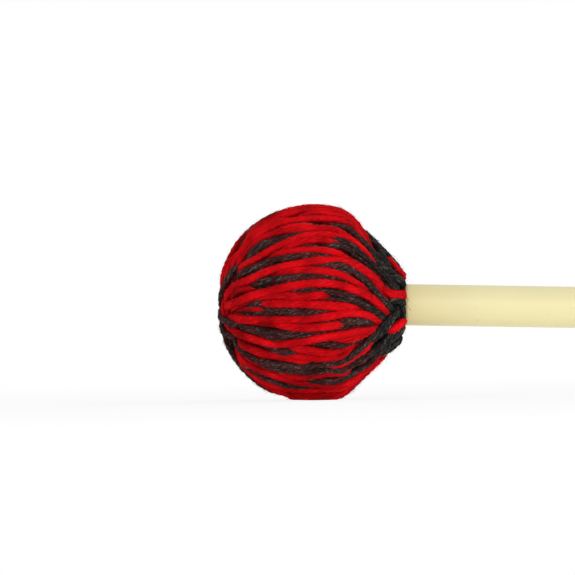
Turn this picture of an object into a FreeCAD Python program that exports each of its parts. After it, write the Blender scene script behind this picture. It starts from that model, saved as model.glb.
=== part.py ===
"""Vibraphone mallet with a two-colour yarn head on a sleeved fibreglass handle.

The handle lies along +X with the head at its -X end, and +Z is up. The origin is on the
handle's axis, at the middle of the grip. All sizes are in millimetres. Places inside the head
are given as u, the distance from the head's widest section towards the butt, and v, the
distance from the axis.
"""
import FreeCAD
import Part
import math
import os

V = FreeCAD.Vector

# Whole mallet
head_diameter = 32.0
overall_length = 391.6      # crown to butt
grip_from_butt = 120.0      # butt to the middle of the grip, where the origin is

# Handle: a fibreglass rod in an ivory polymer sleeve, turned down a little where it sits in the head
sleeve_diameter = 6.7
seat_diameter = 6.3
seat_past_tie = 0.3         # how far past the tie the sleeve comes up to its full diameter
rod_diameter = 4.76
sleeve_clearance = 0.05     # between rod and sleeve, all round
butt_round = 0.8            # rounding of the sleeve at the butt
rod_end_recess = 0.3        # how far inside the sleeve the rod ends

# Core: a moulded rubber ball with a flat that the sleeve seats on, in a latex cover
core_set_back = 0.5         # core's centre lies this far towards the crown
crown_cover = 0.5           # yarn between the latex and the last wraps at the crown
core_flat_land = 1.1        # flat ring on the core, round the sleeve's end
bore_end_wall = 3.6         # rubber left between the bore and the crown side of the ball
glue_thickness = 0.2
glue_clearance = 0.02
latex_thickness = 0.6
layer_clearance = 0.03      # between core, latex, first yarn layer and last wraps

# Yarn: two yarns of different colours are wound from pole to pole over a plain first layer
yarn_diameter = 1.4
yarn_gap = 0.55             # between two yarns side by side at the widest section
yarn_clearance = 0.15       # between the two yarns where they cross, and above their bed
turn_in_radius = 1.45       # of the bend that takes a yarn in under the last wraps
turn_straight = 0.1         # straight red yarn between that bend and the turn
rest_flat_depth = 0.5       # the yarn is pressed flat this deep where the head rests

# Outside of the head: a ball that runs out into a cone at the neck
cone_angle = 45.0
cone_start_angle = 12.0     # how far past the widest section the ball ends
cone_blend_radius = 6.0     # between ball and cone

# Last wraps: the crossings of the yarn that pack the crown and the neck
wraps_lap = 0.5             # they reach this far out over the turns
crown_flat_radius = 3.55
crown_hole_diameter = 3.2   # left where the passes run past the pole
crown_hole_round = 0.9
neck_face_round = 1.5
neck_land = 0.5             # flat ring on the neck's face, round its mouth

# Tie: the tail of the red yarn goes once round the handle and lies in the neck's mouth
tie_diameter = 1.3
tie_clearance = 0.05
tie_proud = 0.25            # how far it stands out of the neck's face
tie_end_gap = 0.45          # between its two ends


def sine(degrees):
    return math.sin(math.radians(degrees))


def cosine(degrees):
    return math.cos(math.radians(degrees))


def tangent(degrees):
    return math.tan(math.radians(degrees))


def arcsine(share):
    return math.degrees(math.asin(share))


def leg(long_side, side):
    """Other short side of a right-angled triangle."""
    return math.sqrt(long_side ** 2 - side ** 2)


# Head's outside in section: a ball about the origin, a blend and a cone
head_radius = head_diameter / 2
blend_centre = ((head_radius - cone_blend_radius) * sine(cone_start_angle),
                (head_radius - cone_blend_radius) * cosine(cone_start_angle))
cone_line = (blend_centre[0] * sine(cone_angle) + blend_centre[1] * cosine(cone_angle)
             + cone_blend_radius)


def outside(u, depth):
    """Distance from the axis, and direction, of the head's outside at u, taken depth inside it."""
    ball = head_radius - depth
    blend = cone_blend_radius - depth
    if u <= ball * sine(cone_start_angle):
        angle = arcsine(u / ball)
        return ball * cosine(angle), angle
    if u <= blend_centre[0] + blend * sine(cone_angle):
        angle = arcsine((u - blend_centre[0]) / blend)
        return blend_centre[1] + blend * cosine(angle), angle
    return (cone_line - depth - u * sine(cone_angle)) / cosine(cone_angle), cone_angle


# How finely outside_reach looks, as a share of the head
reach_share = 1e-12


def outside_reach(v, depth):
    """How far towards the neck the head's outside, depth inside it, is v from the axis."""
    near = 0.0
    far = head_diameter
    while far - near > head_diameter * reach_share:
        middle = (near + far) / 2
        if outside(middle, depth)[0] > v:
            near = middle
        else:
            far = middle
    return near


# Yarn passes and turns; no turn is tighter than the yarn is thick
yarn_radius = yarn_diameter / 2
bed_depth = yarn_radius + yarn_clearance
layer_step = yarn_diameter + yarn_clearance
yarn_spacing = yarn_diameter + yarn_gap
loops_per_colour = int(math.pi * (head_diameter - yarn_diameter) / (4 * yarn_spacing))
passes_per_colour = 2 * loops_per_colour
pass_angle = 360 / passes_per_colour
half_pass = pass_angle / 2
turn_radius = yarn_diameter
turn_distance = turn_radius / tangent(half_pass)
turn_in_depth = yarn_radius + turn_in_radius

# Planes that the yarns turn back in near each pole, the charcoal one layer under the red
red_bend = turn_distance + turn_straight
red_crown_plane = turn_in_radius + leg(head_radius - turn_in_depth, red_bend)
red_neck_plane = turn_in_radius + outside_reach(red_bend, turn_in_depth)
charcoal_crown_plane = red_crown_plane - layer_step
charcoal_neck_plane = red_neck_plane - layer_step

# Last wraps lie over the red turns, on the middle of the first layer
wraps_rim = turn_distance + wraps_lap
crown_under = red_crown_plane + yarn_radius + yarn_clearance / 2
neck_under = red_neck_plane + yarn_radius + yarn_clearance
middle_radius = turn_distance / cosine(half_pass) - turn_radius - yarn_radius - yarn_clearance

# Handle and core
sleeve_radius = sleeve_diameter / 2
seat_radius = seat_diameter / 2
rod_radius = rod_diameter / 2
sleeve_bore_radius = rod_radius + sleeve_clearance
glue_bore_radius = rod_radius + glue_clearance
glue_radius = glue_bore_radius + glue_thickness
core_bore_radius = glue_radius + glue_clearance
latex_radius = crown_under - layer_clearance - crown_cover - core_set_back
latex_bore_radius = latex_radius - latex_thickness
core_radius = latex_bore_radius - layer_clearance

# Neck's mouth and face
neck_bore_radius = seat_radius + tie_clearance
tie_radius = tie_diameter / 2
mouth_radius = neck_bore_radius + tie_diameter + tie_clearance
face_round_v = mouth_radius + neck_land
face_round_u = outside_reach(face_round_v, neck_face_round)
neck_face = face_round_u + neck_face_round

# Places along the handle
crown_height = leg(head_radius, crown_flat_radius)
butt_x = grip_from_butt
head_x = butt_x - overall_length + crown_height
core_x = head_x - core_set_back
core_flat_x = core_x + leg(core_radius, seat_radius + core_flat_land)
bore_end_x = core_x - core_radius + bore_end_wall
seat_end_x = head_x + neck_face + tie_proud + seat_past_tie


def on_axis(x):
    return V(x, 0, 0)


def spot(x, v):
    """Point of a section along the handle."""
    return V(x, 0, v)


def at(u, v):
    """Point of a section of the head."""
    return V(head_x + u, 0, v)


def round_from(centre, radius, degrees):
    """Point of a circle in the head's section: 0 degrees is away from the axis, 90 to the butt."""
    return at(centre[0] + radius * sine(degrees), centre[1] + radius * cosine(degrees))


def line(a, b):
    return Part.LineSegment(a, b).toShape()


def arc(centre, radius, start, end):
    """Arc in the head's section between two directions."""
    middle = (start + end) / 2
    points = [round_from(centre, radius, angle) for angle in (start, middle, end)]
    return Part.Arc(*points).toShape()


def revolve(edges):
    """Solid of revolution about the handle's axis."""
    return Part.Face(Part.Wire(edges)).revolve(on_axis(0), V(1, 0, 0), 360)


def bar(radius, start_x, end_x):
    return Part.makeCylinder(radius, end_x - start_x, on_axis(start_x), V(1, 0, 0))


def ball(radius, flat_x):
    """Ball about the core's centre, cut off square at flat_x."""
    whole = Part.makeSphere(radius, on_axis(core_x))
    return whole.cut(bar(radius, flat_x, core_x + radius))


def save(name, shape):
    shape.exportStep("parts/" + name + ".step")
    print(name, "valid", shape.isValid(), "solids", len(shape.Solids), "volume", round(shape.Volume, 2))


def outside_edges(depth, start, end):
    """Edges of the head's outside, depth inside it, from one direction to another."""
    edges = [arc((0, 0), head_radius - depth, start, min(end, cone_start_angle))]
    if end > cone_start_angle:
        edges.append(arc(blend_centre, cone_blend_radius - depth, cone_start_angle, end))
    return edges


def pass_section(depth, crown_plane, neck_plane, end):
    """Line of one pass, in the head's section, that starts and stops at end from the axis.

    The planes are those that the yarn turns back in, the crown's negative. The line runs
    depth inside the yarn's own middle line.
    """
    bend = turn_in_radius - depth
    crown_v, leave = outside(crown_plane + turn_in_radius, turn_in_depth)
    neck_v, arrive = outside(neck_plane - turn_in_radius, turn_in_depth)
    crown_centre = (crown_plane + turn_in_radius, crown_v)
    neck_centre = (neck_plane - turn_in_radius, neck_v)
    edges = [
        line(at(crown_plane + depth, end), round_from(crown_centre, bend, -90)),
        arc(crown_centre, bend, -90, leave),
    ]
    edges += outside_edges(yarn_radius + depth, leave, arrive)
    if arrive == cone_angle:
        cone_top = round_from(blend_centre, cone_blend_radius - yarn_radius - depth, cone_angle)
        edges.append(line(cone_top, round_from(neck_centre, bend, cone_angle)))
    edges += [
        arc(neck_centre, bend, arrive, 90),
        line(round_from(neck_centre, bend, 90), at(neck_plane - depth, end)),
    ]
    return edges


def turned(edges, degrees):
    """Copies of edges, turned about the handle's axis."""
    copies = [edge.copy() for edge in edges]
    for copy in copies:
        copy.rotate(on_axis(0), V(1, 0, 0), degrees)
    return copies


def hairpin(plane, degrees):
    """Two arcs that take a yarn from the pass at degrees to the next one, in a plane."""
    middle = turn_distance / cosine(half_pass)
    about_axis = FreeCAD.Rotation(V(1, 0, 0), degrees + half_pass)

    def on_turn(angle):
        side = turn_radius * sine(angle)
        return about_axis.multVec(V(head_x + plane, -side, middle - turn_radius * cosine(angle)))

    reach = half_pass - 90
    first = Part.Arc(on_turn(reach), on_turn(reach / 2), on_turn(0)).toShape()
    second = Part.Arc(on_turn(0), on_turn(-reach / 2), on_turn(-reach)).toShape()
    return [first, second]


def winding_path(crown_plane, neck_plane, first_angle):
    """One unbroken line from neck to crown and back, all round the head."""
    section = pass_section(0, crown_plane, neck_plane, turn_distance)
    edges = turned(section, first_angle)
    for i in range(1, passes_per_colour):
        before = first_angle + (i - 1) * pass_angle
        edges += hairpin(crown_plane if i % 2 else neck_plane, before)
        edges += turned(section, before + pass_angle)
    return Part.Wire(Part.__sortEdges__(edges))


def yarn_tube(path, diameter):
    """Round yarn along a line of arcs and straight runs."""
    start = path.OrderedVertexes[0].Point
    first = path.OrderedEdges[0]
    heading = first.tangentAt(first.Curve.parameter(start))
    ring = Part.Wire(Part.makeCircle(diameter / 2, start, heading))
    return path.makePipeShell([ring], True, False)


def pressed_flat(shape):
    """Takes off what the surface under the resting head presses flat."""
    floor = rest_flat_depth - head_radius
    corner = V(head_x - head_diameter, -head_diameter, floor - head_diameter)
    return shape.cut(Part.makeBox(2 * head_diameter, 2 * head_diameter, head_diameter, corner))


def points_along(path, spacing):
    """Points on a line, each with how far along it they lie."""
    count = 2 + int(path.Length / spacing)
    step = path.Length / (count - 1)
    return [(point, i * step) for i, point in enumerate(path.discretize(Number=count))]


def least_gap(points, others, diameter, apart):
    """Least gap between the skins of two stretches of yarn that lie apart along the line."""
    least = head_diameter
    for a, a_along in points:
        for b, b_along in others:
            if b_along - a_along > apart and abs(a.x - b.x) < least:
                least = min(least, a.distanceToPoint(b) - diameter)
    return least


def least_radius(path):
    return min(edge.Curve.Radius for edge in path.Edges if hasattr(edge.Curve, "Radius"))


def report_yarn(name, path, tube, diameter):
    """Prints what shows that a winding is one sound tube."""
    points = points_along(path, diameter / 4)
    gap = least_gap(points, points, diameter, math.pi * diameter)
    expected = path.Length * math.pi * diameter ** 2 / 4
    print(name, "length", round(path.Length, 1), "least radius", round(least_radius(path), 3),
          "least gap to itself", round(gap, 3), "volume share", round(tube.Volume / expected, 4))


def handle_sleeve():
    """Ivory tube from the core's flat to the butt, turned down in the head, rounded at the butt."""
    corner = min(butt_round, sleeve_radius - sleeve_bore_radius - sleeve_clearance)
    centre_x = butt_x - corner
    centre_v = sleeve_radius - corner
    start = spot(centre_x, sleeve_radius)
    middle = spot(centre_x + corner * sine(45), centre_v + corner * cosine(45))
    end = spot(butt_x, centre_v)
    return revolve([
        line(spot(core_flat_x, sleeve_bore_radius), spot(core_flat_x, seat_radius)),
        line(spot(core_flat_x, seat_radius), spot(seat_end_x, seat_radius)),
        line(spot(seat_end_x, seat_radius), spot(seat_end_x, sleeve_radius)),
        line(spot(seat_end_x, sleeve_radius), start),
        Part.Arc(start, middle, end).toShape(),
        line(end, spot(butt_x, sleeve_bore_radius)),
        line(spot(butt_x, sleeve_bore_radius), spot(core_flat_x, sleeve_bore_radius)),
    ])


def handle_rod():
    """Fibreglass rod from the bottom of the glue to just inside the butt."""
    return bar(rod_radius, bore_end_x + glue_thickness + glue_clearance, butt_x - rod_end_recess)


def rubber_core():
    """Ball with a flat and a blind bore for the handle's rod."""
    return ball(core_radius, core_flat_x).cut(bar(core_bore_radius, bore_end_x, core_flat_x))


def core_adhesive():
    """Cup of cured epoxy between the rod and the bore."""
    cup = bar(glue_radius, bore_end_x, core_flat_x)
    return cup.cut(bar(glue_bore_radius, bore_end_x + glue_thickness, core_flat_x))


def latex_wrap():
    """Skin of latex strip over the core, open at the flat."""
    return ball(latex_radius, core_flat_x).cut(ball(latex_bore_radius, core_flat_x))


def base_winding():
    """Plain first layer of yarn, hollow for the core, with a bed for the turns round each pole."""
    edges = pass_section(bed_depth, -charcoal_crown_plane, charcoal_neck_plane, middle_radius)
    crown_top = layer_clearance - crown_under
    neck_top = neck_under - layer_clearance
    corners = [
        at(charcoal_neck_plane - bed_depth, middle_radius),
        at(neck_top, middle_radius),
        at(neck_top, 0),
        at(crown_top, 0),
        at(crown_top, middle_radius),
        at(bed_depth - charcoal_crown_plane, middle_radius),
    ]
    edges += [line(a, b) for a, b in zip(corners, corners[1:])]
    hollow = ball(latex_radius + layer_clearance, core_flat_x + layer_clearance)
    return revolve(edges).cut(hollow).cut(bar(neck_bore_radius, core_flat_x, head_x + neck_under))


def head_outline():
    """The whole head as one plain solid: flat crown, ball, cone and rounded face."""
    flat_angle = arcsine(crown_flat_radius / head_radius) - 90
    face_round = (face_round_u, face_round_v)
    face_angle = outside(face_round_u, neck_face_round)[1]
    edges = [line(at(-crown_height, 0), at(-crown_height, crown_flat_radius))]
    edges += outside_edges(0, flat_angle, face_angle)
    if face_angle == cone_angle:
        cone_top = round_from(blend_centre, cone_blend_radius, cone_angle)
        edges.append(line(cone_top, round_from(face_round, neck_face_round, cone_angle)))
    edges += [
        arc(face_round, neck_face_round, face_angle, 90),
        line(at(neck_face, face_round_v), at(neck_face, 0)),
        line(at(neck_face, 0), at(-crown_height, 0)),
    ]
    return revolve(edges)


def crown_wraps():
    """Crossings that close the crown, with the hole that they leave at the pole."""
    cap = head_outline().common(bar(wraps_rim, head_x - head_radius, head_x - crown_under))
    hole = crown_hole_diameter / 2
    mouth = hole + crown_hole_round
    wall_top = at(crown_hole_round - crown_height, hole)
    return cap.cut(revolve([
        line(at(-crown_height, 0), at(-crown_height, mouth)),
        arc((crown_hole_round - crown_height, mouth), crown_hole_round, -90, -180),
        line(wall_top, at(-crown_under, hole)),
        line(at(-crown_under, hole), at(-crown_under, 0)),
        line(at(-crown_under, 0), at(-crown_height, 0)),
    ]))


def neck_wraps():
    """Crossings that close the neck round the handle, with a mouth for the tie."""
    cap = head_outline().common(bar(wraps_rim, head_x + neck_under, head_x + neck_face))
    mouth_floor = neck_face + tie_proud - tie_diameter - tie_clearance
    mouth = bar(mouth_radius, head_x + mouth_floor, head_x + neck_face)
    return cap.cut(bar(neck_bore_radius, head_x + neck_under, head_x + neck_face)).cut(mouth)


def neck_tie():
    """Tail of the red yarn, once round the handle in the neck's mouth."""
    radius = neck_bore_radius + tie_radius
    tie_x = head_x + neck_face + tie_proud - tie_radius
    end_angle = arcsine((tie_end_gap + tie_diameter) / 2 / radius)
    quarter = (360 - 2 * end_angle) / 4

    def on_ring(angle):
        return V(tie_x, radius * sine(angle), radius * cosine(angle))

    starts = [i * quarter for i in range(4)]
    arcs = [Part.Arc(on_ring(a), on_ring(a + quarter / 2), on_ring(a + quarter)).toShape() for a in starts]
    path = Part.Wire(arcs)
    tube = yarn_tube(path, tie_diameter)
    report_yarn("neck_tie", path, tube, tie_diameter)
    return tube


def winding(name, crown_plane, neck_plane, first_angle):
    """One colour of the outer layer. Returns its solid and the points of its line."""
    path = winding_path(crown_plane, neck_plane, first_angle)
    tube = yarn_tube(path, yarn_diameter)
    report_yarn(name, path, tube, yarn_diameter)
    return pressed_flat(tube), points_along(path, yarn_diameter / 4)


os.makedirs("parts", exist_ok=True)
save("handle_sleeve", handle_sleeve())
save("handle_rod", handle_rod())
save("rubber_core", rubber_core())
save("core_adhesive", core_adhesive())
save("latex_wrap", latex_wrap())
save("base_winding", base_winding())
red, red_points = winding("red_winding", -red_crown_plane, red_neck_plane, 0)
save("red_winding", red)
charcoal, charcoal_points = winding("charcoal_winding", -charcoal_crown_plane, charcoal_neck_plane,
                                    half_pass)
save("charcoal_winding", charcoal)
between = least_gap(red_points, charcoal_points, yarn_diameter, -math.inf)
print("least gap between the two yarns", round(between, 3))
save("crown_wraps", crown_wraps())
save("neck_wraps", neck_wraps())
save("neck_tie", neck_tie())
print("loops of each colour", loops_per_colour)
print("core diameter", round(2 * core_radius, 3))
print("handle's full diameter from", round(seat_end_x, 3), "to", round(butt_x - butt_round, 3))
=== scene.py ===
"""Looks of a vibraphone mallet: a head wound in red and charcoal yarn on an ivory handle."""
import math

import bmesh
import bpy
import numpy as np
from mathutils import Matrix, Vector


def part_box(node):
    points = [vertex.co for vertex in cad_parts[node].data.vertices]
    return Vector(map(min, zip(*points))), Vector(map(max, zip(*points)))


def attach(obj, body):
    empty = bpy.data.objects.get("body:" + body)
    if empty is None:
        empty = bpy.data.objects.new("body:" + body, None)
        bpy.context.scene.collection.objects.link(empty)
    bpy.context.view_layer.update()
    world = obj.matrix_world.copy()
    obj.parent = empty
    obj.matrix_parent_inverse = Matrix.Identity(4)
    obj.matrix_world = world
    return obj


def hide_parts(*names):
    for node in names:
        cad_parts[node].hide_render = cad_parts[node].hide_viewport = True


bl_info = {
    "name": "Yarn-wound mallet",
    "version": (1, 0, 0),
    "blender": (4, 5, 0),
    "location": "View3D > Sidebar > Mallet",
    "description": "Winds the head in two yarns and finishes the handle of a mallet",
    "category": "Add Mesh",
}

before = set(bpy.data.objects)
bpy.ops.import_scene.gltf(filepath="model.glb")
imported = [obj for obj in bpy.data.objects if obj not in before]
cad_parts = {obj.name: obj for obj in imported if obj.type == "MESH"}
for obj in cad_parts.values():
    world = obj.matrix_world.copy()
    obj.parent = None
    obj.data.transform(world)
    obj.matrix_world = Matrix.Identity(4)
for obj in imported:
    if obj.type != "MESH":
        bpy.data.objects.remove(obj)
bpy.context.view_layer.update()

MM = 0.001
BODY = "root"

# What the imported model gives: the crown, the neck's face, the butt, the handle's radius and the tie
CROWN_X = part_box("crown_wraps")[0][0]
FACE_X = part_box("neck_wraps")[1][0]
BUTT_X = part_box("handle_sleeve")[1][0]
HANDLE_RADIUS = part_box("handle_sleeve")[1][2]
TIE_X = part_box("neck_tie")[1][0]

# The photograph: its size in pixels, the head's centre in it, and a pixel's size at the head
PICTURE = 575
HEAD_COLUMN = 314
HEAD_ROW = 303
PIXEL_MM = 0.1624

# Its columns at which the passes' angles were read, those where the crown ends and the neck's face
# begins, and two beyond the head, which stand for the whole way to the crown and to the neck
READ_COLUMNS = (232, 250, 275, 300, 325, 350, 372, 390)
POLE_COLUMNS = (236, 397)
TO_CROWN = 0
TO_NECK = 600

# Passes seen from the front: yarn, layer, angles, way and, for some, the columns between which the
# pass shows. Higher layers were wound later. The angles are degrees above the handle's axis as seen
# from the front, at each of READ_COLUMNS. The way is the one that the pass turns round the handle at
# the neck. Outside its columns a pass dives under the others.
FRONT_PASSES = (
    # Over the top and down the upper front
    ("red", 29, (106, 109, 111, 112, 112, 110, 106, 98), 1),
    ("red", 31, (100, 103, 105.5, 106.5, 106, 104, 100, 92), 1),
    ("red", 30, (94, 97, 99.5, 100.5, 100, 98, 95, 87), 1),
    ("red", 33, (88, 91, 93.5, 94.5, 94, 92, 89, 80), 1),
    ("charcoal", 34.2, (78.5, 82.5, 86, 88, 89, 87, 82, 72), 1, 236, 289),
    ("charcoal", 40.4, (106, 109, 111, 112, 111, 108, 98, 84), 1, 346, TO_NECK),
    ("charcoal", 40.2, (96, 99, 101, 102, 101, 98, 89.5, 73), 1, 364, TO_NECK),
    ("charcoal", 40, (84, 88, 91, 92, 91, 88, 80.5, 60.5), 1, 357, TO_NECK),
    ("red", 32, (79, 82.5, 86, 87, 87, 85, 81, 70), 1),
    ("red", 31, (73, 77, 79.5, 80.3, 80.3, 79, 76, 64), 1),
    ("red", 20, (67, 71.5, 75, 76.8, 77.3, 76.5, 74, 60), 1),
    ("red", 36, (61.5, 66, 70.3, 73, 74, 74, 72, 58), 1, TO_CROWN, 374),
    ("red", 33, (56, 61.5, 65.6, 67.3, 68.2, 68.3, 65.5, 47), 1, TO_CROWN, 373),
    ("charcoal", 34.5, (52, 58, 63, 64, 64.6, 65.5, 64, 50), 1, 284, 334),
    ("red", 37, (50.5, 56.3, 60.2, 60.8, 61.6, 63.2, 61, 42), 1, TO_CROWN, 371),
    ("charcoal", 31.5, (50, 56, 59.5, 57.4, 56.8, 58, 54, 39), 1),
    ("charcoal", 38, (50, 56, 60, 60.5, 58.2, 57, 53.6, 37), 1, 333, TO_NECK),
    ("red", 32, (46, 51.8, 54.6, 53.9, 54, 53.5, 49, 37), 1),
    ("red", 35, (42.5, 51.3, 51.8, 50, 50.8, 51, 47, 33), 1, TO_CROWN, 372),
    ("charcoal", 33, (36.5, 44.5, 46.2, 48.5, 51, 52, 50, 38), 1),
    ("charcoal", 43, (38, 45, 47, 48.5, 51, 52, 50, 38), 1, TO_CROWN, 237),
    ("charcoal", 34, (32, 39.8, 43.2, 46.6, 49, 50, 46, 32), 1),
    ("red", 38.5, (34.5, 34, 38.2, 43.5, 46, 48, 43.7, 31), 1, 229, 392),
    ("red", 33, (31, 34, 35.6, 39.3, 41, 40.4, 36, 25), 1, 263, 352),
    ("charcoal", 39, (34, 38, 42, 43.5, 44.8, 42, 38.5, 31), 1, 333, TO_NECK),
    ("charcoal", 35, (30, 34, 34.5, 34.6, 36.8, 38.4, 36.3, 26.5), 1, 319, TO_NECK),
    ("charcoal", 41, (58, 63, 66, 66, 66, 62, 53, 43), 1, 375, TO_NECK),
    ("charcoal", 40.5, (64, 69, 72, 72, 72, 70, 63, 52), 1, 375, TO_NECK),
    ("red", 36, (30.5, 34.3, 33.4, 33.3, 33.2, 31.2, 28.8, 17.5), 1, 265, TO_NECK),
    ("charcoal", 22, (25.5, 27.3, 29, 29.6, 30.4, 30, 27, 14), 1),
    ("charcoal", 21, (24, 24.8, 27.2, 28.5, 29.6, 29.5, 26, 12), 1),
    ("red", 37, (16, 18.8, 22.6, 24.4, 27, 27.8, 24.3, 8), 1, TO_CROWN, 397),
    # Across the middle
    ("red", 35, (11, 11.2, 11, 12, 13, 12, 5, -10), 1, TO_CROWN, 247),
    ("charcoal", 24, (13, 14, 15, 15.6, 16.3, 14, 8, -6), 1),
    ("charcoal", 23, (3.5, 10.3, 13, 15, 15.5, 14, 8, -6), 1),
    ("charcoal", 38, (17, 20, 22.5, 23.5, 23.8, 23.7, 15, -1), 1, 321, TO_NECK),
    ("charcoal", 31, (16, 19, 21.5, 22, 21.7, 20.2, 13.5, -2.5), 1, TO_CROWN, 356),
    ("red", 32, (17, 18.6, 20.3, 20, 19.4, 16.3, 9, -8), 1, 262, 376),
    ("red", 37.5, (-1.3, 4.8, 8.8, 11, 12.2, 10.3, 5, -9), 1),
    ("charcoal", 25, (2, 6, 7.5, 7.6, 8.4, 7, 0, -14), 1),
    ("charcoal", 36.5, (0, 5, 7.5, 7.8, 7.8, 3.6, -3.4, -16.5), 1, 326, TO_NECK),
    ("charcoal", 31, (-3, -0.5, 2, 1.6, 2.3, 1.8, -5, -19), 1),
    ("red", 33, (-3, 3.5, 4.6, 3.8, 5.2, 4, 0, -14), 1, TO_CROWN, 335),
    ("red", 34, (-5, -0.5, -0.5, -0.5, -1.2, -2.6, -7, -18), 1, 263, 369),
    ("red", 30, (-7, -5.6, -5.5, -5, -4, -4, -9, -20), 1, TO_CROWN, 258),
    ("charcoal", 29, (0, -2, -4.6, -5.2, -5, -5, -9, -20), 1),
    ("charcoal", 28, (-11.5, -9.6, -7.5, -6.5, -6, -6, -10, -21), 1),
    ("red", 36, (-18, -14, -11, -9.6, -7.8, -5.9, -10.5, -24), 1),
    ("red", 35.3, (-17.5, -15.5, -14.2, -14.6, -13.8, -13.2, -17, -27), 1, TO_CROWN, 343),
    ("charcoal", 35, (-17, -15, -12.5, -12.6, -11.4, -11.6, -16, -25), 1, 306, TO_NECK),
    ("charcoal", 33, (-24, -20, -18, -18.2, -17.2, -15, -18, -27), 1, 323, 357),
    ("charcoal", 24, (-24.2, -21, -19.3, -19, -18.5, -17.5, -21, -30), 1),
    ("charcoal", 23, (-26.5, -23.8, -22.8, -20.5, -18.5, -18, -22, -31), 1),
    ("charcoal", 44, (-24, -22, -20.5, -19.8, -18.5, -18, -22, -31), 1, TO_CROWN, 238),
    ("red", 35.5, (-32.5, -28.6, -27.2, -23.6, -20.4, -19.6, -23, -31), 1),
    ("red", 30, (-34, -31, -29, -25.5, -21.3, -23.4, -27, -34), 1),
    ("charcoal", 29, (-37, -33, -28, -26, -25.5, -28.3, -35, -44), 1, 240, TO_NECK),
    # Down the lower front
    ("red", 33, (-35, -31, -27.3, -28, -30.5, -33, -37, -46), 1, TO_CROWN, 366),
    ("charcoal", 35, (-36, -35, -32.3, -31.2, -33, -35, -40, -48), 1, 271, 297),
    ("red", 34, (-42, -38.6, -36.3, -33.8, -34.9, -35.5, -39, -48), 1, TO_CROWN, 361),
    ("red", 31, (-43, -41.5, -39, -37.6, -36.5, -38, -43, -52), 1, TO_CROWN, 324),
    ("charcoal", 42, (-47.4, -47, -43, -41, -38.8, -38.4, -32.3, -20.3), -1),
    ("red", 38, (-46, -46, -45, -43.2, -41.8, -42.3, -38.6, -33), -1, 326, 386),
    ("charcoal", 30, (-47.3, -49, -45.6, -44.6, -43, -44, -48, -56), 1),
    ("charcoal", 37, (-49, -49.8, -47.2, -44.5, -44.6, -46.1, -42.7, -34), -1, 238, TO_NECK),
    ("charcoal", 41, (-50, -50, -48, -46, -46, -46, -38, -27), -1, 374, TO_NECK),
    ("charcoal", 42.5, (-58, -55, -52, -50, -50, -50, -49.5, -44), -1, 355, TO_NECK),
    ("red", 33, (-57, -55, -52.6, -50.6, -48.9, -51.4, -55, -62), 1, TO_CROWN, 361),
    ("red", 35, (-58, -56, -54, -52, -52, -53, -56.5, -60), 1, 359, 374),
    ("charcoal", 36, (-62, -59, -56, -53, -53.3, -55.7, -62, -71.5), 1, 306, TO_NECK),
    ("charcoal", 43.8, (-64, -61, -58, -56, -56, -59, -68, -80), 1, 381, TO_NECK),
    ("charcoal", 43.4, (-62, -60, -57, -55, -55, -57, -57, -53), -1, 374, TO_NECK),
    ("charcoal", 43.2, (-68, -66, -63, -62, -62, -64, -66, -62), -1, 378, TO_NECK),
    ("red", 35, (-61.5, -58.5, -54.8, -56, -58.2, -63.6, -70, -78), 1),
    ("charcoal", 26, (-68, -64, -61.3, -60.3, -60, -66, -70, -77), 1),
    ("red", 34, (-75, -71.5, -68.2, -64.4, -63.6, -68.8, -75.5, -83), 1),
    ("red", 32, (-80, -76.8, -73.2, -70, -69, -74.4, -80.5, -88), 1),
    ("red", 33.5, (-86, -82.6, -79, -75.8, -74.6, -80, -86, -93), 1),
    ("charcoal", 36.5, (-76, -82, -87, -88, -86, -88, -93, -100), 1, TO_CROWN, 288),
    ("red", 31.5, (-92, -88.6, -85, -82, -81, -85.6, -91, -99), 1),
    ("red", 30, (-98, -94.6, -91, -88.4, -87.6, -92, -97, -105), 1),
)

# Short lengths that lie on top at the neck: yarn, layer, columns, angles there. The first column is
# where the length comes up from under the others. Two more places, on the neck's face beside the
# handle, follow the last column.
NECK_ENDS = (
    ("red", 50, (383, 386.5, 390, 394, 398, 401.5), (23, 19.5, 17, 17, 18.5, 20.5, 27, 33)),
    ("red", 50, (390, 392.5, 395.5, 398.5, 401.5), (-38, -36.5, -34.5, -33, -31, -29, -26)),
    ("red", 49, (386, 389, 392, 395.5, 399, 401.5), (78, 75, 72, 69, 66, 64, 60, 56)),
    ("charcoal", 48, (390, 393, 396, 399, 402), (52, 50, 48, 47, 47, 46, 40)),
    ("charcoal", 48.5, (393, 396, 399, 402), (43, 41, 39, 38, 41, 46)),
    ("charcoal", 47, (390, 393, 396, 399, 402), (36, 35, 34, 34, 35, 38, 42)),
    ("charcoal", 46, (391, 394, 397, 400, 402.5), (-2, 2, 4, 5, 4, 0, -6)),
    ("charcoal", 46, (388, 391, 394, 397, 400), (-58, -56, -54, -53, -52, -48, -42)),
)

# Short lengths that cross the crown beside its hole: yarn, layer, distance from the axis in
# millimetres, the angle in degrees at which the length is nearest to the axis, and half its length in
# millimetres
CROWN_WRAPS = (
    ("red", 42.6, 3.2, 10, 9.5),
    ("red", 42.4, 4.1, -2, 10.5),
    ("charcoal", 42.8, 3.0, -118, 9),
)

# Turns right round the handle under the neck's passes: distance from the axis in millimetres, and
# where round the handle the turn starts, in radians
NECK_HOOPS = ((6.6, 2.0), (5.6, -1.0), (7.9, 4.0))

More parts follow.
